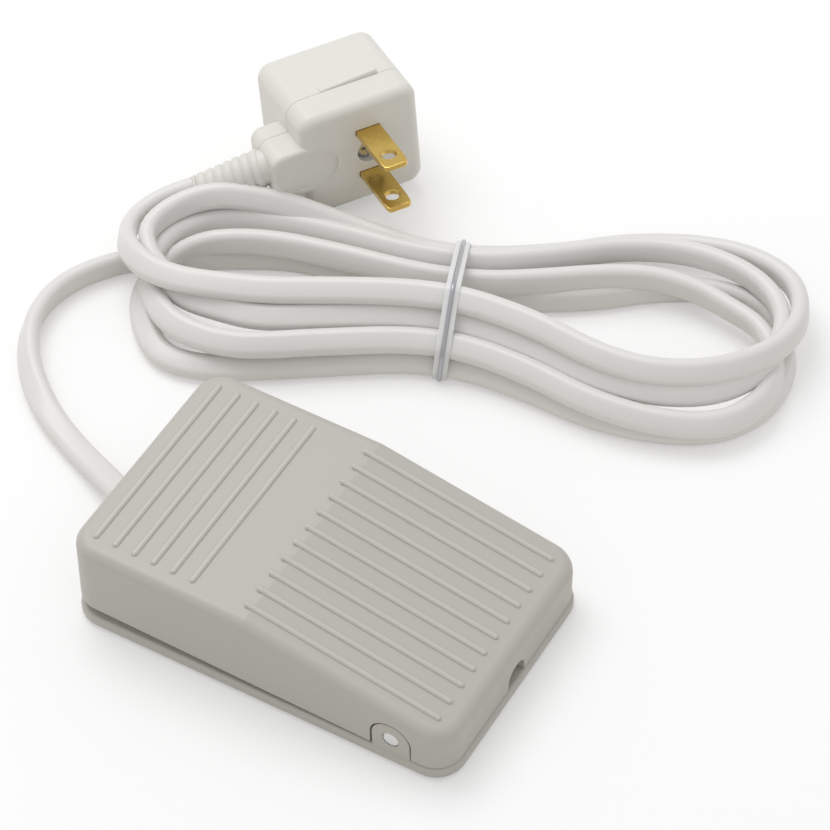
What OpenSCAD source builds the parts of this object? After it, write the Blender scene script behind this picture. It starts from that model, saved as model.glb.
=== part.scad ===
// Foot switch: a rocking treadle over a shallow base, with a snap switch inside,
// a flat two-core cord tied in a hank and a two-pin tap plug.
// Origin: bottom centre of the foot switch. +Y towards the toe and the cord, +Z up.

/* [Base] */
// Length of the base, heel to toe
base_len = 98; // [92:1:106]
// Width of the base
base_wid = 61.4; // [59:0.2:68]
// Plan radius of the base's corners
plan_r = 7; // [6:0.5:10]
// Height of the visible rim above the underside
rim_h = 2.8; // [2.4:0.1:4]
// Thickness of the base's floor
floor_t = 2; // [1.6:0.1:2.3]
// Thickness of the fence that stands inside the skirt
fence_t = 1.8; // [1.4:0.1:2.2]
// Height of the fence above the rim
fence_h = 5; // [3:0.5:5.5]
// How far the rubber feet stand below the underside
foot_proud = 0.8; // [0.5:0.1:1.5]
// Diameter of a rubber foot
foot_d = 10; // [8:0.5:12]

/* [Treadle] */
// How far the treadle's sides stand in from the rim
step_in = 0.4; // [0.2:0.1:0.8]
// Height of the bend line above the underside, treadle level
bend_h = 23.1; // [22.5:0.1:26]
// Place of the bend line along the length
bend_y = 3; // [0:0.5:6]
// Fall of the toe half, treadle level, degrees
toe_fall = 0.8; // [0:0.1:1.5]
// Fall of the heel half, treadle level, degrees
heel_fall = 9.9; // [8:0.1:10.5]
// Thickness of the side walls
wall_t = 2.2; // [1.8:0.1:2.6]
// Thickness of the top
top_t = 2.4; // [2:0.1:2.8]
// Rounding of the top's edge
edge_r = 2.6; // [2:0.1:3.5]
// Gap between skirt and rim, treadle level
skirt_gap = 0.5; // [0.4:0.05:0.8]
// Gap left where the skirt stops on the rim
stop_gap = 0.06; // [0.03:0.01:0.1]

/* [Grip ribs] */
// Spacing of the grip ribs
rib_pitch = 5; // [4.5:0.1:5.2]
// Width of a grip rib
rib_w = 1.5; // [1:0.1:2]
// Height of a grip rib
rib_h = 0.6; // [0.4:0.1:1]
// Count of ribs across the toe half
cross_ribs = 6; // [4:1:7]
// Count of ribs along the heel half
long_ribs = 11; // [7:2:11]
// Bare margin round the ribs
rib_margin = 5.2; // [4.5:0.1:7]

/* [Hinge] */
// Diameter of the hinge pin
pin_d = 4; // [3:0.1:4.4]
// Distance of the pin from the heel end of the base
pin_in = 14.6; // [13:0.1:17]
// Height of the pin's axis above the underside
pin_h = 7.2; // [6.8:0.1:7.6]
// Half width of a base ear, and the radius of its top
ear_r = 4.75; // [4.4:0.05:5.2]
// Thickness of a base ear
ear_t = 2.8; // [2.4:0.1:3.2]
// Thickness of a treadle lug
lug_t = 2.6; // [2:0.1:3]
// Running clearance of the pin in the lugs, on the radius
pin_play = 0.05; // [0.02:0.01:0.09]
// Gap round the ears and beside the lugs
ear_gap = 0.4; // [0.3:0.05:0.5]

/* [Snap switch] */
// Length of the switch case
case_len = 27.8; // [26:0.2:28]
// Thickness of the switch case and cover together
case_wid = 10.3; // [9.5:0.1:10.5]
// Height of the switch case
case_h = 15.9; // [15:0.1:16]
// Thickness of the cover
cover_t = 1.6; // [1.2:0.1:2]
// Distance of the case's heel end from the middle of the base
case_back = 2; // [0:0.5:4]
// Diameter of the plunger
plunger_d = 3.2; // [2.6:0.1:4]
// How far the plunger stands above the case
plunger_up = 2.3; // [2.2:0.1:2.6]
// Diameter of the fixing screws
screw_d = 3; // [2.6:0.1:3]
// Width of a blade terminal
tab_w = 4.75; // [4:0.05:5]
// Thickness of a blade terminal
tab_t = 0.5; // [0.4:0.1:0.8]
// Free length of a blade terminal
tab_len = 7; // [6:0.5:7.5]

/* [Springs] */
// Outer diameter of a return spring
coil_d = 9; // [8:0.5:10]
// Wire diameter of a return spring
wire_d = 0.8; // [0.6:0.1:1]
// Turns of a return spring
coil_turns = 7; // [5:1:8]
// Distance of each spring from the centre line
spring_x = 18.5; // [17.5:0.5:19]
// Distance of the springs from the toe end of the base
spring_in = 18; // [17:0.5:21]

/* [Cord] */
// Width of the flat cord
cord_w = 6.6; // [5.8:0.1:6.8]
// Thickness of the flat cord
cord_t = 4.2; // [3.8:0.1:4.4]
// Diameter of an insulated core
core_d = 2.2; // [1.8:0.1:2.4]
// Play of the cord in the notches
notch_play = 0.2; // [0.15:0.05:0.4]
// Height of the notches in the skirt
notch_h = 5.4; // [5.2:0.1:6]
// Height of the tied hank
hank_h = 16; // [15:1:18]
// Width of the hank where it is tied
hank_waist = 29; // [26:1:30]
// Thickness of the tie
tie_t = 0.8; // [0.6:0.1:1.2]
// Width of the tie
tie_w = 3.4; // [2.5:0.1:5]

/* [Plug] */
// Width of the plug's body
plug_w = 31.4; // [30:0.2:34]
// Height of the plug's body
plug_h = 30; // [28:0.5:32]
// Depth of the plug's body
plug_depth = 28; // [26:0.5:30]
// Depth of the front shell
front_depth = 8.9; // [8.5:0.1:10]
// Distance from the blades to the body's right side
blade_right = 13.9; // [13:0.1:15]
// Rounding of the plug's corners
plug_r = 4; // [3:0.5:5]
// Length of a blade outside the plug
blade_len = 16.7; // [15.9:0.1:18]
// Width of a blade
blade_w = 6.35; // [6:0.05:6.5]
// Thickness of a blade
blade_t = 1.5; // [1.3:0.1:1.6]
// Distance between the two blades
blade_gap = 12.7; // [12.4:0.1:13]
// Height of the side collar
collar_h = 13.6; // [13:0.2:16]
// Length of the side collar
collar_len = 8; // [7:0.5:9]
// How far the collar stands behind the parting line
collar_rear = 5.8; // [5.6:0.1:7]
// Length of the ribbed boot
boot_len = 17.3; // [15:0.1:19]

/* [Hidden] */
$fn = 48;
grey = [0.74, 0.73, 0.70];
ivory = [0.88, 0.87, 0.83];
white = [0.90, 0.89, 0.87];
gold = [0.80, 0.62, 0.25];
steel = [0.75, 0.76, 0.78];

// Levels and plan sizes of the base
under_z = foot_proud;
floor_z = under_z + floor_t;
rim_z = under_z + rim_h;
half_len = base_len / 2;
half_wid = base_wid / 2;
tread_len = half_len - step_in;
tread_wid = half_wid - step_in;
tread_r = plan_r - step_in;
fence_gap = 0.8;
fence_in = step_in + wall_t + fence_gap;

// The hinge, and how far the treadle turns from level to each stop
pin_y = -half_len + pin_in;
pin_z = under_z + pin_h;
skirt_z = rim_z + skirt_gap;
rest_tilt = asin((skirt_gap - stop_gap) / (tread_len + pin_y));
press_tilt = asin((skirt_gap - stop_gap) / (tread_len - pin_y));

// The treadle's top, level: height of the outside at a place along the length
bend_z = under_z + bend_h;
function top_z(y) = bend_z - (y > bend_y ? tan(toe_fall) : -tan(heel_fall)) * (y - bend_y);

// The snap switch
case_y = -case_back;
case_x = -case_wid / 2;
plunger_y = case_y + 20;
case_top = floor_z + case_h;
plunger_top = case_top + plunger_up;
hole_y = [case_y + 2.8, case_y + case_len - 2.8];
hole_z = [floor_z + 13.2, floor_z + screw_d + 0.3];
bracket_t = 3;
tab_low = floor_z + 3;
tab_mid = floor_z + 8.5;
tab_high = floor_z + 11.5;

// The cord's fixed end
cord_z = rim_z + 0.1 + cord_t / 2;
clamp_y = half_len - 9;
clamp_x = cord_w / 2 + screw_d / 2 + 1.6;
clamp_t = 2.4;
clamp_l = 7;
cord_back = clamp_y - 5.5;
notch_w = cord_w + 2 * notch_play;
core_x = cord_w / 4;

// Springs stand over short pegs, loose enough for the treadle's swing
peg_play = 0.7;
peg_d = coil_d - 2 * wire_d - 2 * peg_play;
spring_y = half_len - spring_in;
spring_arm = spring_y - pin_y;
spring_top = top_z(spring_y) - top_t + spring_arm * tan(rest_tilt);

// ---- Shapes used by several pieces ----

// A rectangle with round corners, centred
module round_rect(len_x, len_y, r) {
  square([len_x - 2 * r, len_y], center = true);
  square([len_x, len_y - 2 * r], center = true);
  for (sx = [-1, 1])
    for (sy = [-1, 1])
      translate([sx * (len_x / 2 - r), sy * (len_y / 2 - r)])
        circle(r);
}

// A disc with its upper edge rounded, the top at z = 0
module puck(r, edge) {
  rotate_extrude($fn = 32)
    polygon(concat([[0, -edge]],
                   [for (a = [0:15:90]) [r - edge + edge * cos(a), -edge + edge * sin(a)]],
                   [[0, 0]]));
}

// A bar with round ends along X
module slot_bar(length, width, height) {
  linear_extrude(height) {
    square([length - width, width], center = true);
    for (s = [-1, 1])
      translate([s * (length - width) / 2, 0])
        circle(width / 2, $fn = 24);
  }
}

// An arch: half round of radius r above the origin, straight sides down to -drop
module arch(r, drop) {
  circle(r);
  translate([-r, -drop])
    square([2 * r, drop]);
}

// Turns a shape drawn in the plane Y-Z to stand there, running along +X
module stand_yz() {
  rotate([90, 0, 90])
    children();
}

// A pan head screw along -Z, its seat at z = 0
module pan_screw(d, length) {
  rotate_extrude($fn = 32)
    polygon([[0, -length], [d / 2 - 0.4, -length], [d / 2, -length + 0.6], [d / 2, 0], [d, 0],
             [d, 1.1], [d * 0.8, 1.8], [0, 2]]);
}
module cross_recess(d) {
  for (a = [0, 90])
    rotate([0, 0, a])
      translate([-d / 2, -0.35, 0])
        cube([d, 0.7, 1.6]);
}
module headed_screw(d, length) {
  difference() {
    pan_screw(d, length);
    translate([0, 0, 0.9])
      cross_recess(d * 1.1);
  }
}

// A tube swept along points; the flat section is wide across and turns by roll degrees
function unit(v) = v / norm(v);
function heading(p, i) = unit(p[min(i + 1, len(p) - 1)] - p[max(i - 1, 0)]);
function ring(p, i, across, high, roll, sides) =
  let (t = heading(p, i),
       s = unit(cross(t, [0, 0, 1])),
       u = cross(s, t),
       a = s * cos(roll) + u * sin(roll),
       b = u * cos(roll) - s * sin(roll))
  [for (k = [0:sides - 1])
    p[i] + a * across / 2 * cos(360 * (k + 0.5) / sides) + b * high / 2 * sin(360 * (k + 0.5) / sides)];
module sweep(p, across, high, rolls, sides) {
  n = len(p);
  pts = [for (i = [0:n - 1]) each ring(p, i, across, high, rolls[i], sides)];
  skin = [for (i = [0:n - 2]) for (k = [0:sides - 1])
    let (j = (k + 1) % sides) each [
      [i * sides + k, i * sides + j, (i + 1) * sides + k],
      [i * sides + j, (i + 1) * sides + j, (i + 1) * sides + k]]];
  cap_a = [for (k = [sides - 1:-1:0]) k];
  cap_b = [for (k = [0:sides - 1]) (n - 1) * sides + k];
  polyhedron(pts, concat(skin, [cap_a, cap_b]));
}

// ---- Base ----

module base_plan(inset, height) {
  linear_extrude(height)
    round_rect(base_wid - 2 * inset, base_len - 2 * inset, plan_r - min(inset, plan_r - 1));
}

module foot_places() {
  for (sx = [-1, 1])
    for (sy = [-1, 1])
      translate([sx * (half_wid - foot_d / 2 - 4), sy * (half_len - foot_d / 2 - 4), 0])
        children();
}

module base_tray() {
  color(grey)
    difference() {
      union() {
        translate([0, 0, under_z])
          base_plan(0, rim_h);
        translate([0, 0, under_z])
          base_plan(fence_in, rim_h + fence_h);
        for (s = [-1, 1])
          base_ear(s);
      }
      difference() {
        translate([0, 0, floor_z])
          base_plan(fence_in + fence_t, rim_h + fence_h);
        switch_bracket();
        spring_pegs();
        clamp_bosses();
      }
      hinge_gaps();
      translate([-notch_w / 2, cord_back, cord_z - cord_t / 2])
        cube([notch_w, half_len, fence_h + 5]);
      translate([0, 0, pin_z])
        rotate([0, 90, 0])
          translate([0, pin_y, -half_wid - 1])
            cylinder(d = pin_d, h = base_wid + 2);
      foot_places()
        translate([0, 0, under_z - 1])
          cylinder(d = foot_d, h = 2);
      switch_screw_places()
        translate([0, 0, -case_wid - bracket_t - 1])
          cylinder(d = screw_d, h = case_wid + bracket_t + 2, $fn = 32);
      clamp_screw_places()
        translate([0, 0, -clamp_depth()])
          cylinder(d = screw_d, h = clamp_depth() + 1, $fn = 32);
    }
}

// An ear stands outside the fence, flush with the treadle's side, and carries the pin
module base_ear(s) {
  translate([s > 0 ? tread_wid - ear_t : -tread_wid, pin_y, pin_z])
    stand_yz()
      linear_extrude(ear_t)
        arch(ear_r, pin_h - 0.5);
}

// The fence is left out beside the ears, where the treadle's lugs hang
module hinge_gaps() {
  gap = ear_r + 3;
  for (s = [-1, 1])
    translate([s > 0 ? lug_x() - ear_gap : -lug_x() - lug_t - ear_gap, pin_y - gap, floor_z])
      cube([lug_t + 2 * ear_gap, 2 * gap, rim_h + fence_h]);
}

module switch_bracket() {
  translate([case_x - bracket_t, case_y, under_z])
    cube([bracket_t, case_len, case_h + floor_t]);
  for (y = [case_y + 5, case_y + case_len - 5])
    translate([case_x - bracket_t - 4, y - 0.8, under_z])
      cube([4.5, 1.6, case_h - 4]);
}

module spring_pegs() {
  for (s = [-1, 1])
    translate([s * spring_x, spring_y, under_z])
      cylinder(d = peg_d, h = floor_t + 3);
}

module clamp_bosses() {
  translate([-clamp_x - screw_d, clamp_y - clamp_l / 2, under_z])
    cube([2 * clamp_x + 2 * screw_d, clamp_l, cord_z + cord_t / 2 - 0.4 - under_z]);
}

module rubber_feet() {
  color([0.25, 0.25, 0.25])
    foot_places()
      cylinder(d = foot_d, h = foot_proud + 1);
}

// ---- Hinge ----

module hinge_pin() {
  chamfer = 0.4;
  r = pin_d / 2;
  reach = tread_wid - 0.1;
  color(steel)
    translate([0, pin_y, pin_z])
      rotate([0, 90, 0])
        rotate_extrude()
          polygon([[0, -reach], [r - chamfer, -reach], [r, -reach + chamfer],
                   [r, reach - chamfer], [r - chamfer, reach], [0, reach]]);
}

// ---- Treadle, modelled level and then lifted about the pin to its rest ----

module lifted(angle) {
  translate([0, pin_y, pin_z])
    rotate([angle, 0, 0])
      translate([0, -pin_y, -pin_z])
        children();
}

function lug_x() = tread_wid - ear_t - ear_gap - lug_t;

// The closed outer or inner form: a prism whose top is bent at bend_y
module tread_form(inset, drop, edge) {
  hx = tread_wid - inset;
  hy = tread_len - inset;
  r = max(tread_r - inset, edge + 0.5);
  toe_y = hy - r;
  heel_y = -hy + r;
  hull() {
    translate([0, 0, skirt_z])
      linear_extrude(0.1)
        round_rect(2 * hx, 2 * hy, r, $fn = 64);
    for (s = [-1, 1]) {
      translate([s * (hx - r), toe_y, top_z(toe_y) - drop])
        rotate([-toe_fall, 0, 0])
          puck(r, edge);
      translate([s * (hx - r), bend_y, top_z(bend_y) - drop])
        rotate([(heel_fall - toe_fall) / 2, 0, 0])
          puck(edge + 0.5, edge);
      translate([s * (hx - edge - 0.5), bend_y, top_z(bend_y) - drop])
        puck(edge + 0.5, edge);
      translate([s * (hx - r), heel_y, top_z(heel_y) - drop])
        rotate([heel_fall, 0, 0])
          puck(r, edge);
    }
  }
}

// Places something on the toe or heel slope of the top
module on_slope(y) {
  translate([0, y, top_z(y)])
    rotate([y > bend_y ? -toe_fall : heel_fall, 0, 0])
      children();
}

module grip_ribs() {
  sink = 0.6;
  first_y = tread_len - rib_margin;
  for (i = [0:cross_ribs - 1])
    on_slope(first_y - i * rib_pitch)
      translate([0, 0, -sink])
        slot_bar(2 * (tread_wid - rib_margin) + rib_w, rib_w, rib_h + sink);
  heel_end = -tread_len + rib_margin;
  run = bend_y - heel_end;
  for (i = [0:long_ribs - 1])
    on_slope(bend_y - run / 2)
      translate([(i - (long_ribs - 1) / 2) * rib_pitch, 0, -sink])
        rotate([0, 0, 90])
          slot_bar(run + rib_w, rib_w, rib_h + sink);
}

// Lugs hang from the top on the inner side of the ears
module lugs() {
  r = pin_d / 2 + 2.1;
  for (s = [-1, 1])
    translate([s > 0 ? lug_x() : -lug_x() - lug_t, pin_y, pin_z])
      stand_yz()
        linear_extrude(lug_t) {
          circle(r);
          translate([-r, 0])
            square([2 * r, top_z(pin_y - r) - top_t / 2 - pin_z]);
        }
}

// Stiffening ribs under the top, cut to the inner form
module inner_ribs() {
  deep = 2.2;
  for (y = [-8, -18, -28])
    translate([0, y, top_z(y) - top_t - deep])
      translate([-tread_wid + wall_t, -0.7, 0])
        cube([2 * (tread_wid - wall_t), 1.4, deep + top_t / 2]);
}

// The post that works the switch, and the pegs that centre the springs
module tread_post() {
  low = plunger_top + 0.1 - (plunger_y - pin_y) * tan(rest_tilt);
  translate([-3, plunger_y - 3, low])
    cube([6, 6, top_z(plunger_y) - top_t / 2 - low]);
}
module tread_pegs() {
  for (s = [-1, 1])
    translate([s * spring_x, spring_y, top_z(spring_y) - top_t - 3])
      cylinder(d = peg_d, h = 3 + top_t / 2);
}

module pedal_cover() {
  color(grey)
    lifted(rest_tilt)
      difference() {
        union() {
          difference() {
            tread_form(0, 0, edge_r);
            translate([0, 0, -0.5])
              tread_form(wall_t, top_t - 0.5, 0.6);
          }
          grip_ribs();
          lugs();
          inner_ribs();
          tread_post();
          tread_pegs();
        }
        // cut-outs round the ears
        for (s = [-1, 1])
          translate([s > 0 ? tread_wid - wall_t - 1 : -tread_wid - 1, pin_y, pin_z])
            stand_yz()
              linear_extrude(wall_t + 2)
                arch(ear_r + ear_gap, pin_z);
        // bores of the lugs
        translate([-tread_wid + wall_t, pin_y, pin_z])
          rotate([0, 90, 0])
            cylinder(r = pin_d / 2 + pin_play, h = 2 * (tread_wid - wall_t));
        // the cord's notch at the toe, and the same notch for a cord at the heel
        for (s = [-1, 1])
          translate([0, s * tread_len - wall_t - 1, skirt_z + notch_h - notch_w / 2])
            rotate([90, 0, 180])
              linear_extrude(2 * wall_t + 2)
                arch(notch_w / 2, notch_h);
      }
}

// ---- Return springs ----

function coil_points(x, z0, z1) =
  let (r = (coil_d - wire_d) / 2, steps = 12)
  [for (i = [0:coil_turns * steps])
    let (a = i * 360 / steps, t = i / (coil_turns * steps))
    [x + r * cos(a), spring_y + r * sin(a), z0 + (z1 - z0) * t]];

module return_springs() {
  color(steel)
    for (s = [-1, 1])
      sweep(coil_points(s * spring_x, floor_z + wire_d / 2 + 0.05, spring_top - wire_d / 2 - 0.15),
            wire_d, wire_d, [for (i = [0:coil_turns * 12]) 0], 6);
}

// ---- Snap switch ----

module switch_screw_places() {
  for (i = [0, 1])
    translate([-case_x, hole_y[i], hole_z[i]])
      rotate([0, 90, 0])
        children();
}

module switch_case() {
  color([0.16, 0.16, 0.17])
    difference() {
      translate([case_x, case_y, floor_z])
        cube([case_wid - cover_t, case_len, case_h]);
      translate([0, plunger_y, floor_z + 8])
        cylinder(r = plunger_d / 2 + pin_play, h = case_h);
      switch_screw_places()
        translate([0, 0, -case_wid - 1])
          cylinder(d = screw_d + 0.1, h = case_wid + 2, $fn = 32);
      terminal_tabs();
    }
}

module switch_cover() {
  color([0.22, 0.22, 0.23])
    difference() {
      translate([-case_x - cover_t, case_y, floor_z])
        cube([cover_t, case_len, case_h]);
      switch_screw_places()
        translate([0, 0, -case_wid - 1])
          cylinder(d = screw_d + 0.1, h = case_wid + 2, $fn = 32);
    }
}

module switch_plunger() {
  color([0.65, 0.12, 0.10])
    translate([0, plunger_y, 0])
      rotate_extrude($fn = 32)
        polygon([[0, case_top - 4], [plunger_d / 2, case_top - 4],
                 [plunger_d / 2, plunger_top - 0.5], [plunger_d / 2 - 0.5, plunger_top],
                 [0, plunger_top]]);
}

// Three blade terminals: the common at the toe end, the two contacts at the heel end
module terminal_tabs() {
  root = 3;
  translate([-tab_w / 2, case_y + case_len - root, tab_high])
    cube([tab_w, tab_len + root, tab_t]);
  for (z = [tab_low, tab_mid])
    translate([-tab_w / 2, case_y - tab_len, z])
      cube([tab_w, tab_len + root, tab_t]);
}

module switch_terminals() {
  color(gold)
    terminal_tabs();
}

module switch_screws() {
  color(steel)
    switch_screw_places()
      headed_screw(screw_d, case_wid + bracket_t);
}

// Push-on connectors: one on the common tab, one on the lower heel tab
barrel_r = core_d / 2 + 0.5;
barrel_len = 5;
module spade() {
  difference() {
    union() {
      translate([-tab_w / 2 - 0.8, 0.4, -1.4])
        cube([tab_w + 1.6, tab_len - 0.4, 2.8]);
      translate([0, tab_len - 0.5, 0])
        rotate([-90, 0, 0])
          cylinder(r = barrel_r, h = barrel_len + 0.5, $fn = 32);
    }
    translate([-tab_w / 2, -1, -tab_t / 2])
      cube([tab_w, tab_len + 1, tab_t]);
    translate([0, tab_len + 0.5, 0])
      rotate([-90, 0, 0])
        cylinder(d = core_d, h = barrel_len, $fn = 32);
  }
}
module spade_connectors() {
  color(gold) {
    translate([0, case_y + case_len, tab_high + tab_t / 2])
      spade();
    translate([0, case_y, tab_low + tab_t / 2])
      rotate([0, 0, 180])
        spade();
  }
}

// The two cores: from the end of the sheath to the barrels of the connectors
toe_barrel = case_y + case_len + tab_len;
heel_barrel = case_y - tab_len;
u = core_d / 2.2;
toe_z = tab_high + tab_t / 2;
heel_z = tab_low + tab_t / 2;
toe_route = [[core_x, cord_back, cord_z], [core_x, cord_back - 1.5 * u, cord_z],
             [4.5 * u, cord_back - 4 * u, 6.5 * u], [9 * u, cord_back - 3.5 * u, 8 * u],
             [11.8 * u, cord_back, 10 * u], [11.8 * u, cord_back + 4.5 * u, 13 * u],
             [8 * u, cord_back + 9 * u, toe_z + 0.4 * u], [3 * u, cord_back + 10 * u, toe_z + 0.4 * u],
             [0.4 * u, toe_barrel + 8.5 * u, toe_z + 0.2 * u],
             [0, toe_barrel + barrel_len + 0.6 * u, toe_z], [0, toe_barrel + 0.6, toe_z]];
heel_route = [[-core_x, cord_back, cord_z], [-core_x, cord_back - 1.5 * u, cord_z],
              [-5 * u, cord_back - 4.5 * u, 6 * u], [-11 * u, cord_back - 8 * u, 5.5 * u],
              [-14.5 * u, cord_back - 14 * u, 5.5 * u], [-14.5 * u, 5 * u, 5.5 * u],
              [-13 * u, -8 * u, 5.8 * u], [-8.5 * u, heel_barrel - 9 * u, 6.2 * u],
              [-3.5 * u, heel_barrel - 11.5 * u, 6.2 * u], [-0.5 * u, heel_barrel - 9 * u, heel_z],
              [0, heel_barrel - barrel_len - 0.6 * u, heel_z], [0, heel_barrel - 0.6, heel_z]];
module core_wires() {
  color([0.95, 0.95, 0.93]) {
    sweep(toe_route, core_d, core_d, [for (p = toe_route) 0], 10);
    sweep(heel_route, core_d, core_d, [for (p = heel_route) 0], 10);
  }
}

// ---- Cord anchorage ----

function clamp_depth() = clamp_t + cord_t;

module clamp_screw_places() {
  for (s = [-1, 1])
    translate([s * clamp_x, clamp_y, cord_z + cord_t / 2 + clamp_t])
      children();
}

module cord_clamp() {
  color(grey)
    difference() {
      translate([0, clamp_y, cord_z + cord_t / 2])
        slot_bar(2 * clamp_x + 2 * screw_d, clamp_l, clamp_t);
      clamp_screw_places()
        translate([0, 0, -clamp_t - 1])
          cylinder(d = screw_d + 0.1, h = clamp_t + 2, $fn = 32);
    }
}

module clamp_screws() {
  color(steel)
    clamp_screw_places()
      headed_screw(screw_d, clamp_depth() - 0.4);
}

// The end of the sheath, held under the clamp and led out through the toe
module cord_end() {
  color(white)
    translate([0, cord_back, cord_z])
      rotate([-90, 0, 0])
        slot_section(half_len - cord_back);
}
module slot_section(length) {
  linear_extrude(length) {
    square([cord_w - cord_t, cord_t], center = true);
    for (s = [-1, 1])
      translate([s * (cord_w - cord_t) / 2, 0])
        circle(cord_t / 2);
  }
}

// ---- Free cord ----

// The lead runs from the toe round to the near end of the hank; flat at first, then on edge
lead_route = [[0, 49, 5.8], [0, 50.5, 5.8], [1, 54.5, 5.4], [3, 59, 4.6], [5.6, 64.5, 3.6], [8.2, 70.5, 2.6],
              [11, 76.8, 2.2], [14, 83, 2.2], [18, 89.5, 2.4], [23, 95.6, 2.8], [29, 101, 3.2],
              [36, 105, 3.4], [43.5, 106.7, 3.4], [51, 106, 3.4], [58, 103, 3.4], [64, 98.5, 3.4],
              [67.5, 94.5, 3.4]];
lead_rolls = [0, 0, 0, 0, 0, 0, 0, 5, 20, 40, 55, 70, 80, 90, 90, 90, 90];
module cord_lead() {
  color(white)
    sweep([for (i = [0:len(lead_route) - 1])
            i < 2 ? [0, half_len + i * 1.5, cord_z] : lead_route[i]],
          cord_w, cord_t, lead_rolls, 10);
}

// The hank: two round ends and a waist that the tie holds
hank_a = [66, 69.5];
hank_b = [106, -33];
hank_ra = 25;
hank_rb = 30;
waist = [85.5, 17.5];
waist_turn = 19;
function at_waist(x, y) =
  waist + [x * cos(waist_turn) - y * sin(waist_turn), x * sin(waist_turn) + y * cos(waist_turn)];
module cord_hank() {
  half = hank_waist / 2;
  color(white)
    translate([0, 0, tie_t])
      linear_extrude(hank_h) {
        translate(hank_a)
          circle(hank_ra, $fn = 96);
        translate(hank_b)
          circle(hank_rb, $fn = 96);
        polygon([[45, 56], at_waist(-half - 2, 22), at_waist(-half, 5), at_waist(-half, -5),
                 at_waist(-half, -22), [77, -38], [132, -20], at_waist(half + 1, -18),
                 at_waist(half, -5), at_waist(half, 5), at_waist(half + 1, 22), [92, 76]]);
      }
}

module twist_tie() {
  color([0.93, 0.94, 0.95])
    translate([waist[0], waist[1], 0])
      rotate([0, 0, waist_turn])
        translate([-hank_waist / 2 - tie_t, tie_w / 2, 0])
          rotate([90, 0, 0])
            linear_extrude(tie_w)
              difference() {
                square([hank_waist + 2 * tie_t, hank_h + 2 * tie_t]);
                translate([tie_t, tie_t])
                  square([hank_waist, hank_h]);
              }
}

// ---- Plug: drawn about the foot of its blades, then laid where it lies ----

plug_at = [114.8, 56.4, 18.3];
plug_yaw = -34;
plug_pitch = -6;
module plug_place() {
  translate(plug_at)
    rotate([0, 0, plug_yaw])
      rotate([plug_pitch, 0, 0])
        children();
}
plug_left = blade_right - plug_w;
collar_left = plug_left - collar_len;
boot_y = (front_depth + collar_rear) / 2;

// A round post along Z whose far end is rounded
module post(r, length, edge) {
  rotate_extrude($fn = 32)
    polygon(concat([[0, 0], [r, 0]],
                   [for (a = [0:15:90]) [r - edge + edge * cos(a), length - edge + edge * sin(a)]],
                   [[0, length]]));
}

// A block along +Y with round corners and a rounded far end
module soft_block(x0, x1, z0, z1, depth, r, edge) {
  rotate([-90, 0, 0])
    hull()
      for (x = [x0 + r, x1 - r])
        for (y = [-z1 + r, -z0 - r])
          translate([x, y, 0])
            post(r, depth, edge);
}

module shell_form(depth, collar_depth) {
  soft_block(plug_left, blade_right, -plug_h / 2, plug_h / 2, depth, plug_r, 2.5);
  soft_block(collar_left, plug_left + 8, -collar_h / 2, collar_h / 2, collar_depth, 3, 1.2);
}

module boot_bore() {
  translate([collar_left - 1, boot_y, 0])
    rotate([0, 90, 0])
      cylinder(d = boot_in_d, h = collar_len + 4);
}

module plug_front_shell() {
  color(ivory)
    plug_place()
      difference() {
        translate([0, front_depth, 0])
          mirror([0, 1, 0])
            shell_form(front_depth, front_depth);
        blades();
        // passage and seat of the screw
        rotate([-90, 0, 0])
          translate([0, 0, -1])
            cylinder(d = screw_d + 0.2, h = front_depth + 2, $fn = 32);
        rotate([-90, 0, 0])
          translate([0, 0, -1])
            cylinder(d = 2 * screw_d + 0.6, h = 4.4, $fn = 32);
        boot_bore();
        // shallow bare oval on the face
        translate([plug_left + 1, 0.4, 0])
          rotate([90, 0, 0])
            slot_bar(16, 10, 1);
      }
}

module plug_rear_shell() {
  depth = plug_depth - front_depth;
  back_t = 3;
  color(ivory)
    plug_place()
      difference() {
        union() {
          difference() {
            translate([0, front_depth, 0])
              shell_form(depth, collar_rear);
            translate([plug_left + 2.2, front_depth - 1, -plug_h / 2 + 2.2])
              cube([plug_w - 4.4, depth - back_t + 1, plug_h - 4.4]);
          }
          translate([0, front_depth, 0])
            rotate([-90, 0, 0])
              cylinder(d = screw_d + 3.4, h = depth - back_t + 0.5);
          // finger ledge on the top, beside the parting line, rising to one end
          translate([-8, front_depth, plug_h / 2 - 1])
            rotate([0, -3.5, 0])
              cube([15.5, 2.2, 1.3]);
        }
        translate([0, front_depth - 1, 0])
          rotate([-90, 0, 0])
            cylinder(d = screw_d, h = 11, $fn = 32);
        for (s = [-1, 1])
          translate([-4, plug_depth - back_t - 1, s * blade_gap / 2 - 1])
            cube([8, back_t + 2, 2]);
        boot_bore();
      }
}

// Two flat blades with a hole near the tip, passing through the front shell
module blades() {
  for (s = [-1, 1])
    translate([0, 0, s * blade_gap / 2 - blade_t / 2])
      linear_extrude(blade_t)
        difference() {
          union() {
            translate([-blade_w / 2, -blade_len + 1.2])
              square([blade_w, blade_len - 1.2 + front_depth]);
            translate([-blade_w / 2 + 1.2, -blade_len])
              square([blade_w - 2.4, blade_len]);
            for (c = [-1, 1])
              translate([c * (blade_w / 2 - 1.2), -blade_len + 1.2])
                circle(1.2, $fn = 24);
          }
          translate([0, -blade_len + 4.8])
            circle(1.75, $fn = 32);
        }
}

module plug_blades() {
  color(gold)
    plug_place()
      blades();
}

module plug_screw() {
  color(steel)
    plug_place()
      translate([0, 3.4, 0])
        rotate([90, 0, 0])
          headed_screw(screw_d, front_depth + 4);
}

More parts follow.
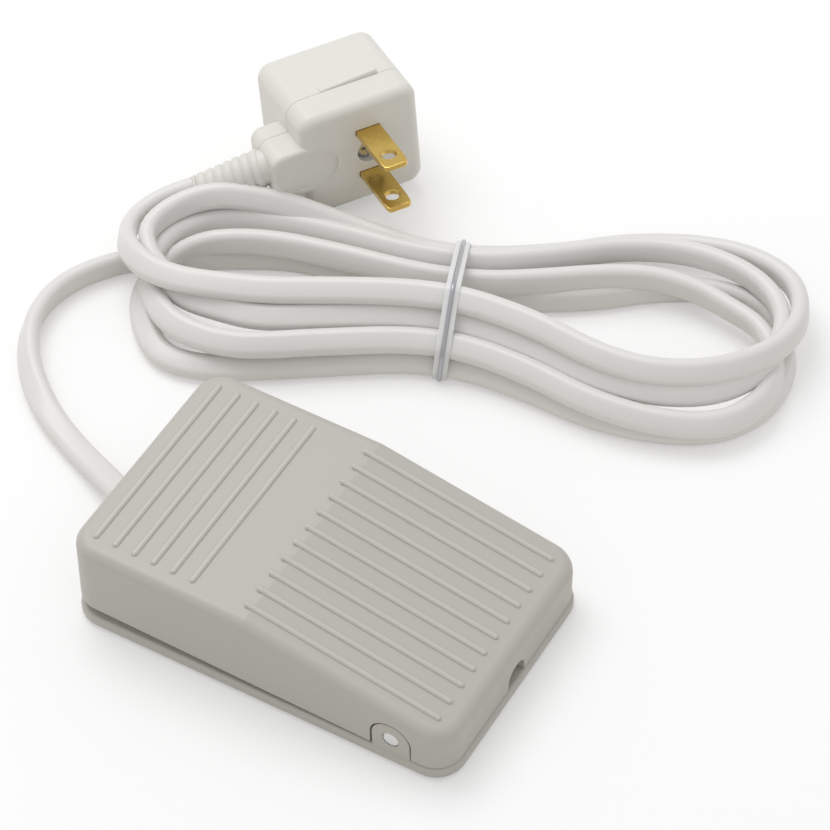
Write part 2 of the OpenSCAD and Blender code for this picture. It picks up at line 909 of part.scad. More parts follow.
// Spring clips behind the outlet slots, each fixed to the back of its blade
module socket_contacts() {
  leaf_t = 0.8;
  grip = 1.9;
  color(gold)
    plug_place()
      for (s = [-1, 1])
        translate([-3.5, front_depth, s * blade_gap / 2 - grip / 2 - leaf_t]) {
          cube([7, 1, grip + 2 * leaf_t]);
          for (z = [0, grip + leaf_t])
            translate([0, 0, z])
              cube([7, plug_depth - front_depth - 4, leaf_t]);
        }
}

// Short leads from the boot to the back of the contacts
module plug_leads() {
  color([0.95, 0.95, 0.93])
    plug_place()
      for (s = [-1, 1])
        sweep([[plug_left + 3, front_depth + 1.3, s * 1.6], [plug_left + 4.4, front_depth + 1.3, s * 1.6],
               [plug_left + 6.5, front_depth + 3.2, s * 2.8], [plug_left + 9, front_depth + 4.8, s * 5],
               [-5.2, front_depth + 5, s * blade_gap / 2], [-3.5, front_depth + 5, s * blade_gap / 2]],
              core_d, core_d, [0, 0, 0, 0, 0, 0], 10);
}

// Ribbed, tapering boot; its root is held between the two halves of the collar
boot_in_d = 9;
boot_big_r = 5.1;
boot_small_r = 3.4;
boot_grooves = 6;
boot_turn = 18;
boot_droop = 13;
boot_groove = 0.8;
function boot_r(x) = boot_big_r + (boot_small_r - boot_big_r) * x / boot_len;
module boot_profile() {
  pitch = (boot_len - 2) / boot_grooves;
  polygon(concat([[0, -3], [boot_big_r, -3]],
                 [for (i = [0:boot_grooves - 1])
                   let (x = 1 + i * pitch) each [
                     [boot_r(x), x + pitch * 0.4], [boot_r(x) - boot_groove, x + pitch * 0.5],
                     [boot_r(x) - boot_groove, x + pitch * 0.75], [boot_r(x + pitch), x + pitch * 0.85]]],
                 [[boot_small_r, boot_len], [0, boot_len]]));
}
module plug_boot() {
  color(ivory)
    plug_place()
      translate([collar_left, boot_y, 0]) {
        rotate([0, 90, 0])
          cylinder(d = boot_in_d, h = collar_len + 3);
        // the boot leaves the collar at a slight turn and droop, cut flush with the collar's end
        intersection() {
          rotate([0, 0, -boot_turn])
            rotate([0, -90 - boot_droop, 0])
              rotate_extrude()
                boot_profile();
          translate([-2 * boot_len, -plug_h, -plug_h])
            cube([2 * boot_len, 2 * plug_h, 2 * plug_h]);
        }
      }
}

// The last stretch of cord, from the boot's tip to the outside of the hank
function plug_point(p) =
  let (y = p[1] * cos(plug_pitch) - p[2] * sin(plug_pitch),
       z = p[1] * sin(plug_pitch) + p[2] * cos(plug_pitch))
  plug_at + [p[0] * cos(plug_yaw) - y * sin(plug_yaw), p[0] * sin(plug_yaw) + y * cos(plug_yaw), z];
boot_tip = plug_point([collar_left - boot_len * cos(boot_turn) * cos(boot_droop),
                       boot_y + boot_len * sin(boot_turn) * cos(boot_droop),
                       -boot_len * sin(boot_droop)]);
tail_route = [[83.5, 93.8, 12.2], [79, 96.8, 11.6], [74, 98.4, 11.4], [69, 98.4, 11.4], [64.5, 97, 11.6]];
module cord_tail() {
  color(white)
    sweep(concat([boot_tip], tail_route), cord_w, cord_t, [for (i = [0:5]) 90], 10);
}

base_tray();
rubber_feet();
hinge_pin();
pedal_cover();
return_springs();
switch_case();
switch_cover();
switch_plunger();
switch_terminals();
switch_screws();
spade_connectors();
core_wires();
cord_clamp();
clamp_screws();
cord_end();
cord_lead();
cord_hank();
cord_tail();
twist_tie();
plug_boot();
plug_front_shell();
plug_rear_shell();
plug_blades();
plug_screw();
socket_contacts();
plug_leads();
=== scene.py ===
# Foot switch on a pale table, with its flat cord in a tied hank and its two-pin tap plug.
import math
import bpy
import bmesh
from mathutils import Matrix, Vector


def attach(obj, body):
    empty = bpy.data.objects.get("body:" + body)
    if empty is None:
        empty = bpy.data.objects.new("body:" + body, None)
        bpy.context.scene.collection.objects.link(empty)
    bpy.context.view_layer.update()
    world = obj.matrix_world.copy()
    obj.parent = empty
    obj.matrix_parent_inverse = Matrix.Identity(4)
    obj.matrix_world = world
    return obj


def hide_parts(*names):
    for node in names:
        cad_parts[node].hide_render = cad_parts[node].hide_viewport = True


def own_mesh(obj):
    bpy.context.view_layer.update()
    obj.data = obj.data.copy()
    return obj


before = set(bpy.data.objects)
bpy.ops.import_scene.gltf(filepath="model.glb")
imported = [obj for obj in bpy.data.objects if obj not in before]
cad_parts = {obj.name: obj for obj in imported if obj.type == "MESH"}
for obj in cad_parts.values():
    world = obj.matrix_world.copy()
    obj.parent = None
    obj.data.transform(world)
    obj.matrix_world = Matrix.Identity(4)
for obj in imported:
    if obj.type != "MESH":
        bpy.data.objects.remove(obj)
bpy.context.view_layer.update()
bpy.context.scene.view_settings.view_transform = "Standard"
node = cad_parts

# ---- Camera ----
# A long lens on a tall stand to the left of the heel. It looks down across the foot switch towards
# the plug, and the stand's head is tipped by two degrees.
camera_turn, camera_rise, camera_tip = math.radians(-58.276), math.radians(48.347), math.radians(-2.028)
camera_spot, camera_lens = Vector((-0.40722, -0.27657, 0.61622)), 152.01
lens_back = Vector((math.sin(camera_turn) * math.cos(camera_rise),
                    -math.cos(camera_turn) * math.cos(camera_rise), math.sin(camera_rise)))
lens_right = Vector((math.cos(camera_turn), math.sin(camera_turn), 0))
lens_up = lens_back.cross(lens_right)
tipped_right = lens_right * math.cos(camera_tip) + lens_up * math.sin(camera_tip)
tipped_up = lens_up * math.cos(camera_tip) - lens_right * math.sin(camera_tip)
camera = bpy.data.objects.new("camera", bpy.data.cameras.new("camera"))
camera.data.lens = camera_lens
camera.data.sensor_width = 36
camera.data.clip_start = 0.05
camera.matrix_world = Matrix.Translation(camera_spot) @ Matrix(
    (tipped_right, tipped_up, lens_back)).transposed().to_4x4()
bpy.context.scene.collection.objects.link(camera)
bpy.context.scene.camera = camera

# ---- Cord ----
# Flat two-core flex in white soft plastic, extruded in one length. It leaves the toe flat, turns
# on edge along the table, goes round the hank four times and comes off the top to the plug.
mm = 0.001
cord_wide, cord_thick = 6.6 * mm, 4.2 * mm
toe_exit = Vector((0, 0.049, 0.0058))
cord_step, smoothings, section_sides = 2.0, 3, 24

# lead from the toe to the hank: place in mm, and turn of the section (0 flat, 90 on edge)
lead = [((0, 49, 5.8), 0), ((0, 50.5, 5.8), 0), ((1, 54.5, 5.4), 0), ((3, 59, 4.6), 0),
        ((5.6, 64.5, 3.6), 0), ((8.2, 70.5, 2.7), 0), ((11, 76.8, 2.3), 0), ((14, 83, 2.45), 5),
        ((18, 89.5, 2.7), 20), ((23, 95.6, 3.05), 40), ((29, 101, 3.3), 55), ((36, 105, 3.45), 70),
        ((43.5, 106.7, 3.4), 80), ((51, 106, 3.4), 90), ((58, 103, 3.4), 90), ((64, 98.5, 3.4), 90),
        ((67.5, 94.5, 3.4), 90)]
# tail from the hank to the plug's boot
tail = [((58.9, 88.5, 14.7), 50), ((61.7, 92.8, 13.6), 62), ((65.8, 96.3, 12), 76),
        ((70.4, 98.4, 10.7), 88), ((75.2, 98.8, 10.1), 90), ((79.6, 97.2, 10.8), 90),
        ((83.6, 93.8, 12.1), 90), ((87.2, 90, 13.2), 90)]

# the hank lies between an outer and an inner ring on the table, in mm, from the far left end
outer_ring = [(93, 88), (99, 73), (102, 55), (104.5, 36), (109, 21), (118, 5.5), (128.5, -8), (135, -23),
              (136, -38), (132, -51), (123, -59), (111, -62.5), (98, -61), (87, -54), (80, -42),
              (76.5, -26), (76.5, -8), (75, 8), (70, 21), (59, 37), (48, 53), (42, 64), (42, 74),
              (48, 86), (58, 94.5), (70, 99), (83, 97)]
inner_ring = [(77, 75), (83, 64), (88, 48), (92, 30), (97, 15), (104, 3), (112, -9), (118, -20),
              (120, -31), (119, -39), (116, -46), (110, -49), (103, -48), (96, -43), (90, -33),
              (87.5, -22), (88, -5), (86.5, 12), (82, 26), (74, 41), (66, 55), (62, 66), (59, 75),
              (60, 81), (64, 83), (68, 82), (72, 80)]
# places in the rings where a turn's depth, height and lean are set, and those where the lead joins
# the first turn and the tail leaves the last one
marks = [0, 3, 6, 9, 13, 17, 20, 22, 23, 25]
joins_at, leaves_at = 1, 23
# how far in from the outer ring each turn runs there, lowest turn first
turn_in = [[0.85, 1.0, 1.1, 0.45, 0.0, 0.0, 0.12, 0.16, 0.4, 0.65],
           [0.9, 1.0, 0.94, 0.95, -0.1, 0.08, 0.2, 0.47, 0.66, 0.55],
           [0.49, 0.52, 0.34, 0.4, 0.42, 0.56, 0.69, 0.9, 1.0, 0.38],
           [0.39, 0.28, 0.02, 0.04, 0.58, 0.75, 0.93, 0.92, 0.76, 0.1]]
# how high its middle is there, in mm
turn_high = [[3.4, 3.4, 3.45, 3.4, 3.45, 3.4, 3.1, 2.8, 3.2, 4.2],
             [9.0, 8.3, 8, 6.6, 6.9, 9.0, 9.4, 9.3, 8.6, 7.7],
             [8, 8.2, 8.4, 9.8, 10.2, 11.0, 10.4, 10.6, 11, 12.5],
             [14.5, 6.5, 4.4, 10, 14.8, 16.3, 15.5, 15.4, 15.3, 14]]
# how far the top of the section leans in over the hank there, in degrees
turn_lean = [[15, 35, 15, 0, -35, -50, -60, -72, -60, -30],
             [15, 35, 15, 0, -35, -50, -50, -50, -40, -10],
             [25, 35, 15, 0, -35, -50, -50, -62, -55, 0],
             [32, 30, 10, 0, -35, -50, -55, -62, -55, -30]]


def ease(values, at):
    """The value at a place round the ring, eased from mark to mark."""
    spots = marks + [len(outer_ring)]
    for i in range(len(marks)):
        if spots[i] <= at < spots[i + 1]:
            t = (at - spots[i]) / (spots[i + 1] - spots[i])
            t = t * t * (3 - 2 * t)
            return values[i] * (1 - t) + values[i + 1] * t


way = [(Vector(p), r) for p, r in lead]
last_turn = len(turn_in) - 1
for turn in range(last_turn + 1):
    following = min(turn + 1, last_turn)
    deep, high, lean = (rows[turn] + [rows[following][0]] for rows in (turn_in, turn_high, turn_lean))
    for place in range(len(outer_ring)):
        if (turn == 0 and place < joins_at) or (turn == last_turn and place > leaves_at):
            continue
        f = ease(deep, place)
        x, y = (a * (1 - f) + b * f for a, b in zip(outer_ring[place], inner_ring[place]))
        way.append((Vector((x, y, ease(high, place))), 90 + ease(lean, place)))
way += [(Vector(p), r) for p, r in tail]


def smooth_way(points, step):
    """Points a step apart on a curve through the given ones, with the roll at each."""
    fine, parts = [], 12
    for i in range(len(points) - 1):
        a, b = points[max(i - 1, 0)], points[i]
        c, d = points[i + 1], points[min(i + 2, len(points) - 1)]
        for k in range(parts):
            t = k / parts
            w = (-t ** 3 + 2 * t * t - t, 3 * t ** 3 - 5 * t * t + 2,
                 -3 * t ** 3 + 4 * t * t + t, t ** 3 - t * t)
            fine.append(((a[0] * w[0] + b[0] * w[1] + c[0] * w[2] + d[0] * w[3]) / 2,
                         b[1] * (1 - t) + c[1] * t))
    fine.append(points[-1])
    out, left = [fine[0]], step
    for (p, r), (q, s) in zip(fine, fine[1:]):
        run = (q - p).length
        while run >= left > 0:
            t = left / run
            p, r = p.lerp(q, t), r + (s - r) * t
            out.append((p, r))
            run, left = (q - p).length, step
        left -= run
    out[-1] = fine[-1]
    return out


steps = smooth_way(way, cord_step)
for _ in range(smoothings):
    steps = steps[:1] + [((a[0] + b[0] * 2 + c[0]) / 4, (a[1] + b[1] * 2 + c[1]) / 4)
                         for a, b, c in zip(steps, steps[1:], steps[2:])] + steps[-1:]
centre = [p * mm for p, r in steps]
centre[0] = toe_exit
cord_length = sum((b - a).length for a, b in zip(centre, centre[1:]))


def oval(wide, thick, sides):
    """Corners of a flat oval section, wide along the first number."""
    half = (wide - thick) / 2
    corners = []
    for k in range(sides):
        a = 2 * math.pi * (k + 0.5) / sides
        corners.append((math.cos(a) * thick / 2 + math.copysign(half, math.cos(a)),
                        math.sin(a) * thick / 2))
    return corners


def section_axes(ahead, roll):
    """The wide and the thin way of a section on a line that runs ahead, turned by the roll."""
    side = ahead.cross(Vector((0, 0, 1))).normalized()
    up = side.cross(ahead)
    turn = math.radians(roll)
    return side * math.cos(turn) + up * math.sin(turn), up * math.cos(turn) - side * math.sin(turn)


def draw_tube(name, line, rolls, section):
    """A closed tube along a line, turned by the roll at each point. Its wrap is an unrolled strip."""
    mesh = bmesh.new()
    unrolled = mesh.loops.layers.uv.new("wrap")
    rings, run = [], [0]
    for i, p in enumerate(line):
        ahead = (line[min(i + 1, len(line) - 1)] - line[max(i - 1, 0)]).normalized()
        across, through = section_axes(ahead, rolls[i])
        rings.append([mesh.verts.new(p + across * a + through * b) for a, b in section])
        run.append(run[-1] + (p - line[max(i - 1, 0)]).length)
    for i in range(len(rings) - 1):
        for k in range(len(section)):
            j = (k + 1) % len(section)
            face = mesh.faces.new((rings[i][k], rings[i][j], rings[i + 1][j], rings[i + 1][k]))
            for loop, u, v in zip(face.loops, (i + 1, i + 1, i + 2, i + 2), (k, k + 1, k + 1, k)):
                loop[unrolled].uv = (run[u], v / len(section))
    mesh.faces.new(rings[0][::-1])
    mesh.faces.new(rings[-1])
    return made(name, mesh)


def made(name, mesh, sharp=35):
    """A linked object of a mesh, smooth except where faces meet at more than the sharp angle."""
    bmesh.ops.remove_doubles(mesh, verts=mesh.verts, dist=0.000002)
    bmesh.ops.recalc_face_normals(mesh, faces=mesh.faces)
    for face in mesh.faces:
        face.smooth = True
    for edge in mesh.edges:
        edge.smooth = len(edge.link_faces) == 2 and edge.calc_face_angle(0) < math.radians(sharp)
    data = bpy.data.meshes.new(name)
    mesh.to_mesh(data)
    mesh.free()
    piece = bpy.data.objects.new(name, data)
    bpy.context.scene.collection.objects.link(piece)
    return piece


class Wire:
    """One output of a shader node. Sums and products of wires and numbers add Math nodes."""

    def __init__(self, tree, socket):
        self.tree, self.socket = tree, socket

    def add(self, kind, settings=None, inputs=None, out=0):
        """A new node's output. Settings are the node's own; inputs are wires or plain values."""
        fresh = self.tree.nodes.new("ShaderNode" + kind)
        for key, value in (settings or {}).items():
            setattr(fresh, key, value)
        for key, value in (inputs or {}).items():
            if isinstance(value, Wire):
                self.tree.links.new(value.socket, fresh.inputs[key])
            else:
                fresh.inputs[key].default_value = value
        return Wire(self.tree, fresh.outputs[out])

    def maths(self, operation, a, b):
        return self.add("Math", {"operation": operation}, {0: a, 1: b})

    def __add__(self, other):
        return self.maths("ADD", self, other)

    __radd__ = __add__

    def __mul__(self, other):
        return self.maths("MULTIPLY", self, other)

    __rmul__ = __mul__

    def between(self, low, high):
        """A colour from low to high as this wire goes from 0 to 1."""
        return self.add("Mix", {"data_type": "RGBA"}, {0: self, 6: (*low, 1), 7: (*high, 1)}, out=2)


def finish_named(name, metallic=0.0, roughness=0.5, **fixed):
    """A new material with a Principled shader, and the wire of its object coordinates."""
    material = bpy.data.materials.new(name)
    material.use_nodes = True
    tree = material.node_tree
    shader = tree.nodes["Principled BSDF"]
    shader.inputs["Metallic"].default_value = metallic
    shader.inputs["Roughness"].default_value = roughness
    for key, value in fixed.items():
        shader.inputs[key.replace("_", " ").title().replace("Ior", "IOR")].default_value = value
    place = Wire(tree, None).add("TexCoord", out="Object")
    return material, shader, place


def feed(shader, **wires):
    """Joins wires to the shader's inputs of those names."""
    for key, wire in wires.items():
        wire.tree.links.new(wire.socket, shader.inputs[key.replace("_", " ").title()])


def flexible(name, tone, deep):
    """Soft glossy PVC: long faint extrusion lines, slow clouding, and a thin film of handling marks."""
    material, shader, place = finish_named(name, roughness=0.32, specular_ior_level=0.45)
    strip = place.add("UVMap", {"uv_map": "wrap"})
    stretched = place.add("Mapping", None, {"Vector": strip, "Scale": (14.0, 26.0, 1.0)})
    lines = place.add("TexNoise", None, {"Vector": stretched, "Scale": 1.0, "Detail": 4.0, "Roughness": 0.6})
    cloud = place.add("TexNoise", None, {"Vector": place, "Scale": 55.0, "Detail": 3.0})
    lumps = place.add("Bump", None, {"Strength": 0.12, "Distance": 0.0002, "Height": lines})
    feed(shader, base_color=(cloud * 0.6 + lines * 0.4).between(deep, tone),
         roughness=cloud * 0.12 + lines * 0.06 + 0.22, normal=lumps)
    return material


def moulded(name, tone, deep, roughness=0.42, bump=0.05, **fixed):
    """Moulded plastic: a fine spark-eroded grain, slow clouding of the tone and of the gloss."""
    cloud, grain = 14.0, 0.00035
    material, shader, place = finish_named(name, roughness=roughness, **fixed)
    drift = place.add("TexNoise", None, {"Vector": place, "Scale": cloud, "Detail": 3.0, "Roughness": 0.55})
    speck = place.add("TexNoise", None, {"Vector": place, "Scale": 0.35 / grain, "Detail": 2.0})
    lumps = place.add("Bump", None, {"Strength": bump, "Distance": grain, "Height": speck})
    feed(shader, base_color=drift.between(deep, tone), roughness=drift * 0.08 + (roughness - 0.04),
         normal=lumps)
    return material


def wear(piece, material):
    """Gives a piece one material and nothing else."""
    piece.data.materials.clear()
    piece.data.materials.append(material)


def settle(piece, material, body, slot, *nodes):
    """One material, the body the piece rides on, its slot, which is not used, and the CAD nodes it stands for.
    """
    wear(piece, material)
    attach(piece, body)
    if nodes:
        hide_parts(*nodes)


cord_finish = flexible("cord_sheath", (0.80, 0.785, 0.765), (0.745, 0.73, 0.71))
cord = draw_tube("cord", centre, [r for p, r in steps], oval(cord_wide, cord_thick, section_sides))
settle(cord, cord_finish, "base", "cord_sheath", "cord_lead", "cord_hank", "cord_tail")
sheath_end = moulded("sheath_end", (0.79, 0.775, 0.755), (0.745, 0.73, 0.71), roughness=0.34)
wear(node["cord_end"], sheath_end)

# ---- Tie ----
# A strip of clear film with a thin soft wire moulded along its middle. It is drawn round the
# middle of the hank on a slant and lies tight against the outermost strands.
tie_wide, tie_film, tie_wire = 3.5 * mm, 0.35 * mm, 0.55 * mm
tie_far, tie_near = Vector((108.7, 27.2, 0)) * mm, Vector((72.1, 12.5, 0)) * mm
tie_lean, tie_reach, tie_clear = -0.10, 60 * mm, 1.1 * mm
tie_along = (tie_near - tie_far).normalized()
tie_across = tie_along.cross(Vector((tie_lean * tie_along.y, -tie_lean * tie_along.x, 1))).normalized()
tie_up = tie_across.cross(tie_along).normalized()
crossed = []
for (p, r), (q, _) in zip(steps, steps[1:]):
    p, q = p * mm, q * mm
    a, b = (p - tie_far).dot(tie_across), (q - tie_far).dot(tie_across)
    if a * b <= 0 and (p - tie_far).length < tie_reach:
        spot = p.lerp(q, a / (a - b)) - tie_far
        ahead = (q - p).normalized()
        across, through = section_axes(ahead, r)
        for u, v in oval(cord_wide + 2 * tie_film, cord_thick + 2 * tie_film, section_sides):
            corner = spot + across * u + through * v
            corner -= ahead * corner.dot(tie_across) / ahead.dot(tie_across)
            crossed.append((corner.dot(tie_along), corner.dot(tie_up)))
crossed.sort()


def outside(points):
    """One half of the tight outline round some points, from the first to the last."""
    line = []
    for p in points:
        while len(line) > 1 and ((line[-1][0] - line[-2][0]) * (p[1] - line[-2][1])
                                 <= (line[-1][1] - line[-2][1]) * (p[0] - line[-2][0])):
            line.pop()
        line.append(p)
    return line[:-1]


band = outside(crossed) + outside(crossed[::-1])
round_hank = []
for (a, b), (c, d) in zip(band, band[1:] + band[:1]):
    parts = max(1, round(math.hypot(c - a, d - b) / mm))
    for k in range(parts):
        t = k / parts
        round_hank.append((a + (c - a) * t, b + (d - b) * t))
for _ in range(2):
    round_hank = [tuple((a + b * 2 + c) / 4 for a, b, c in zip(before, here, after)) for before, here, after
                  in zip(round_hank[-1:] + round_hank, round_hank, round_hank[1:] + round_hank[:1])]
round_hank = [(a, max(b, tie_clear)) for a, b in round_hank]


def strap(name, section):
    """A closed band round the hank, its section given as (along the hank, outwards)."""
    mesh = bmesh.new()
    rings = []
    for i, (a, b) in enumerate(round_hank):
        before, after = round_hank[i - 1], round_hank[(i + 1) % len(round_hank)]
        run = Vector((after[0] - before[0], after[1] - before[1])).normalized()
        out = tie_along * run.y - tie_up * run.x
        base_at = tie_far + tie_along * a + tie_up * b
        rings.append([mesh.verts.new(base_at + tie_across * u + out * v) for u, v in section])
    for a, b in zip(rings, rings[1:] + rings[:1]):
        for k in range(len(section)):
            j = (k + 1) % len(section)
            mesh.faces.new((a[k], a[j], b[j], b[k]))
    return made(name, mesh, 60)


tie = strap("tie_film", [(u, v + tie_film / 2) for u, v in oval(tie_wide, tie_film, 16)])
tie_core = strap("tie_wire", [(tie_wire * math.cos(a), tie_film + tie_wire * math.sin(a))
                              for a in (k * math.pi / 6 for k in range(12))])
tie_finish = moulded("tie_plastic", (0.95, 0.95, 0.95), (0.90, 0.90, 0.91), roughness=0.16, alpha=0.72)
settle(tie, tie_finish, "base", "tie_plastic", "twist_tie")
tie_core_finish = moulded("tie_core", (0.50, 0.51, 0.53), (0.42, 0.43, 0.45), roughness=0.3, metallic=0.6)
settle(tie_core, tie_core_finish, "base", "tie_plastic", "twist_tie")

# ---- Base ----
# The shallow tray that stands on its feet: warm grey moulded plastic in one shot, with a low fence
# inside the treadle's skirt, two ears for the hinge, and the switch's bracket, pegs and clamp post.
half_long, half_wide, base_corner = 49, 30.7, 7
floor_low, floor_top, rim_top, fence_top = 0.8, 2.8, 3.6, 8.6
fence_in, fence_thick, exit_half = 2.5, 1.8, 3.5
pin_place, pin_level, pin_radius = -34.4, 8.0, 2
ear_in, ear_out, ear_radius, lug_slot_in, lug_slot_half = 27.5, 30.3, 4.75, 24.1, 7.75
foot_x, foot_y, foot_radius = 21.7, 40, 5
spring_x, spring_y, peg_radius = 18.5, 31, 3


def block(low, high):
    """A box between two corners, in mm."""
    mesh = bmesh.new()
    bmesh.ops.create_cube(mesh, size=1)
    bmesh.ops.scale(mesh, vec=Vector(high) - Vector(low), verts=mesh.verts)
    bmesh.ops.translate(mesh, vec=(Vector(low) + Vector(high)) / 2, verts=mesh.verts)
    return mesh


def soften(mesh, offset, segments, wanted):
    """Rounds the edges for which wanted(middle, direction, the two normals) is true."""
    mesh.normal_update()
    picked = []
    for edge in mesh.edges:
        a, b = edge.verts[0].co, edge.verts[1].co
        normals = [face.normal for face in edge.link_faces]
        if len(normals) == 2 and wanted((a + b) / 2, (b - a).normalized(), normals):
            picked.append(edge)
    bmesh.ops.bevel(mesh, geom=picked, offset=offset, offset_type="OFFSET", segments=segments, profile=0.5,
                    affect="EDGES", clamp_overlap=True, material=-1)


def upright(middle, way, normals):
    """Wanted by soften: edges that stand along Z."""
    return abs(way.z) > 0.9


def bar(start, end, radius, sides=40):
    """A round bar between two points, in mm."""
    mesh = bmesh.new()
    start, end = Vector(start), Vector(end)
    bmesh.ops.create_cone(mesh, cap_ends=True, segments=sides, radius1=radius, radius2=radius,
                          depth=(end - start).length)
    turn = (end - start).to_track_quat("Z", "Y").to_matrix().to_4x4()
    bmesh.ops.transform(mesh, matrix=Matrix.Translation((start + end) / 2) @ turn, verts=mesh.verts)
    return mesh


def arch(x0, x1, radius, drop):
    """An ear across X: half round at the hinge's level with straight sides down to the drop."""
    mesh = bar((x0, pin_place, pin_level), (x1, pin_place, pin_level), radius, 48)
    for v in mesh.verts:
        if v.co.z < pin_level + 0.01:
            v.co.y = pin_place + math.copysign(radius, v.co.y - pin_place)
            v.co.z = pin_level if abs(v.co.z - pin_level) < 0.01 else drop
    bmesh.ops.remove_doubles(mesh, verts=mesh.verts, dist=0.001)
    bmesh.ops.dissolve_degenerate(mesh, edges=mesh.edges, dist=0.001)
    return mesh


def joined(name, solids, place=Matrix()):
    """An object of several solids in mm, put in place in metres."""
    whole = bmesh.new()
    for solid in solids:
        bmesh.ops.transform(solid, matrix=Matrix.Scale(mm, 4) @ place, verts=solid.verts)
        part = bpy.data.meshes.new("part")
        solid.to_mesh(part)
        solid.free()
        whole.from_mesh(part)
        bpy.data.meshes.remove(part)
    return made(name, whole)


def carve(piece, *steps_of_work):
    """Joins or cuts solids out of a piece for good; each step is (kind, the solid's object)."""
    for kind, tool in steps_of_work:
        step = piece.modifiers.new("step", "BOOLEAN")
        step.operation, step.object, step.solver = kind, tool, "EXACT"
    shape = bpy.data.meshes.new_from_object(piece.evaluated_get(bpy.context.evaluated_depsgraph_get()))
    piece.modifiers.clear()
    for kind, tool in steps_of_work:
        bpy.data.objects.remove(tool)
    mesh = bmesh.new()
    mesh.from_mesh(shape)
    name = piece.name
    bpy.data.objects.remove(piece)
    return made(name, mesh)


def finish_edges(piece):
    """Lets the broad faces keep their flat shading beside their rounded edges."""
    piece.modifiers.new("even", "WEIGHTED_NORMAL").keep_sharp = True


def step_inside(mesh, faces, margin, rise):
    """Moves what lies inside a margin of some flat faces up or down, and gives the moved faces."""
    bmesh.ops.inset_region(mesh, faces=faces, thickness=margin, use_even_offset=True)
    grown = bmesh.ops.extrude_face_region(mesh, geom=faces)["geom"]
    bmesh.ops.delete(mesh, geom=faces, context="FACES_ONLY")
    bmesh.ops.translate(mesh, vec=(0, 0, rise), verts=[g for g in grown if isinstance(g, bmesh.types.BMVert)])
    return [g for g in grown if isinstance(g, bmesh.types.BMFace)]


tray = block((-half_wide, -half_long, floor_low), (half_wide, half_long, rim_top))
soften(tray, base_corner, 10, upright)
soften(tray, 0.9, 4, lambda middle, way, normals: middle.z > rim_top - 0.01)
soften(tray, 0.5, 2, lambda middle, way, normals: middle.z < floor_low + 0.01)
top = [face for face in tray.faces if face.normal.z > 0.99 and face.calc_center_median().z > floor_top]
top = step_inside(tray, top, fence_in, fence_top - rim_top)
step_inside(tray, top, fence_thick, floor_top - fence_top)
base = joined("base", [tray])
cuts = [block((-exit_half, 34.5, 3.7), (exit_half, 52, 14))]
cuts += [block((x0, pin_place - lug_slot_half, floor_top), (x1, pin_place + lug_slot_half, 12))
         for x0, x1 in ((lug_slot_in, ear_in), (-ear_in, -lug_slot_in))]
cuts += [bar((x, y, floor_low - 1), (x, y, floor_low + 1), foot_radius)
         for x in (-foot_x, foot_x) for y in (-foot_y, foot_y)]
base = carve(base, *[("DIFFERENCE", joined("cut", [cut])) for cut in cuts])
ears = [arch(ear_in, ear_out, ear_radius, 1.3), arch(-ear_out, -ear_in, ear_radius, 1.3)]
for ear in ears:
    soften(ear, 0.25, 2, lambda middle, way, normals: abs(middle.x) > ear_out - 0.01)
bracket = [block((-8.15, -2, 1), (-5.15, 25.8, 18.7)), block((-12.15, 2.2, 1), (-7.9, 3.8, 12.7)),
           block((-12.15, 20, 1), (-7.9, 21.6, 12.7))]
pegs = [bar((x, spring_y, 1), (x, spring_y, 5.8), peg_radius) for x in (-spring_x, spring_x)]
posts = [block((x0, 36.5, 1), (x1, 43.5, 7.4)) for x0, x1 in ((-9.4, -exit_half), (exit_half, 9.4))]
pin_bore = bar((-32, pin_place, pin_level), (32, pin_place, pin_level), pin_radius + 0.04)
base_fittings = carve(joined("base_fittings", ears + bracket + pegs + posts),
                      ("DIFFERENCE", joined("cut", [pin_bore])))
housing = moulded("housing_plastic", (0.515, 0.50, 0.455), (0.475, 0.46, 0.418))
for piece in (base, base_fittings):
    finish_edges(piece)
    settle(piece, housing, "base", "base_plastic", "base_tray")
wear(node["cord_clamp"], housing)

# ---- Feet ----
# Four black rubber pucks with a rounded lower edge. They are pressed into shallow sockets in the
# underside and keep the base from sliding.
pads = []
for x in (-foot_x, foot_x):
    for y in (-foot_y, foot_y):
        pad = bar((x, y, 0), (x, y, 1.8), foot_radius)
        soften(pad, 0.35, 3, lambda middle, way, normals: middle.z < 0.01)
        pads.append(pad)
feet = joined("feet", pads)
finish_edges(feet)
rubber = moulded("foot_rubber", (0.045, 0.045, 0.044), (0.032, 0.032, 0.032), roughness=0.75, bump=0.3)
settle(feet, rubber, "base", "foot_rubber", "rubber_feet")

# ---- Treadle ----
# The cover the foot rests on: one grey moulding, bent across its top and open below. Its grip ribs are
# glossier than the rest, and their lighter tone is a painted highlight on their crests. The skirt has an arch
# round each hinge ear and a notch at either end, and lugs inside it rock on the pin.
tread_wide, tread_long, skirt, wall = 30.3, 48.6, 4.1, 2.2
tread_corner, tread_edge, bend_place, bend_level = 6.6, 2.6, 3, 23.9
toe_slope, heel_slope = math.radians(0.8), math.radians(9.9)
rest_lift = math.radians(1.776)
rib_wide, rib_high, rib_pitch, rib_end, rib_past_bend, cross_rib_half = 1.5, 0.62, 5, 43.4, 1.6, 25.1


def top_level(y):
    """Height of the top's outer face, before it is tilted to rest."""
    return bend_level - (math.tan(toe_slope) if y > bend_place else -math.tan(heel_slope)) * (y - bend_place)


